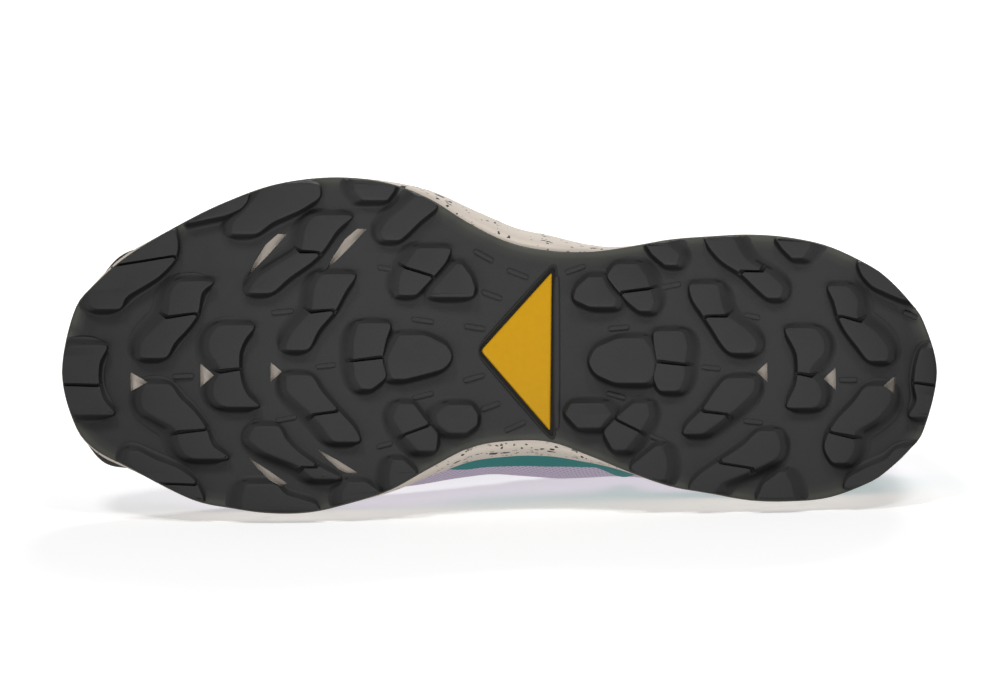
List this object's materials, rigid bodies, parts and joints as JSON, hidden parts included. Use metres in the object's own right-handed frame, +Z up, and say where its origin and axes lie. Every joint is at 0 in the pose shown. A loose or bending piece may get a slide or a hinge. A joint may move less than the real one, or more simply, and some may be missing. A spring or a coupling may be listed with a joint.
{
  "type": "trail running shoe",
  "caption": "Left trail running shoe lying on its inner side: lugged rubber outsole with a triangular inset, flared foam midsole, hollow upper, tongue, insole and lace.",
  "frame": {"origin": "centre of the underside of the bounding box, on the surface that the shoe lies on", "axes": "+X from toe to heel along the shoe, -Y out of the tread towards the viewer, +Z up; the shoe lies on its inner side"},
  "size_m": [0.2874, 0.1298, 0.1107],
  "materials": {
    "outsole_rubber": "matte moulded rubber with a fine grain",
    "inset_plastic": "satin moulded plastic",
    "midsole_foam": "matte moulded foam with dark flecks",
    "upper_mesh": "knitted mesh with smooth overlays",
    "insole_cloth": "brushed cloth over foam",
    "tongue_cloth": "padded mesh",
    "lace_cord": "flat woven cord"
  },
  "bodies": {
    "root": {"outsole": "outsole_rubber", "inset": "inset_plastic", "midsole": "midsole_foam", "upper": "upper_mesh", "insole": "insole_cloth", "tongue": "tongue_cloth", "lace": "lace_cord"}
  },
  "joints": []
}
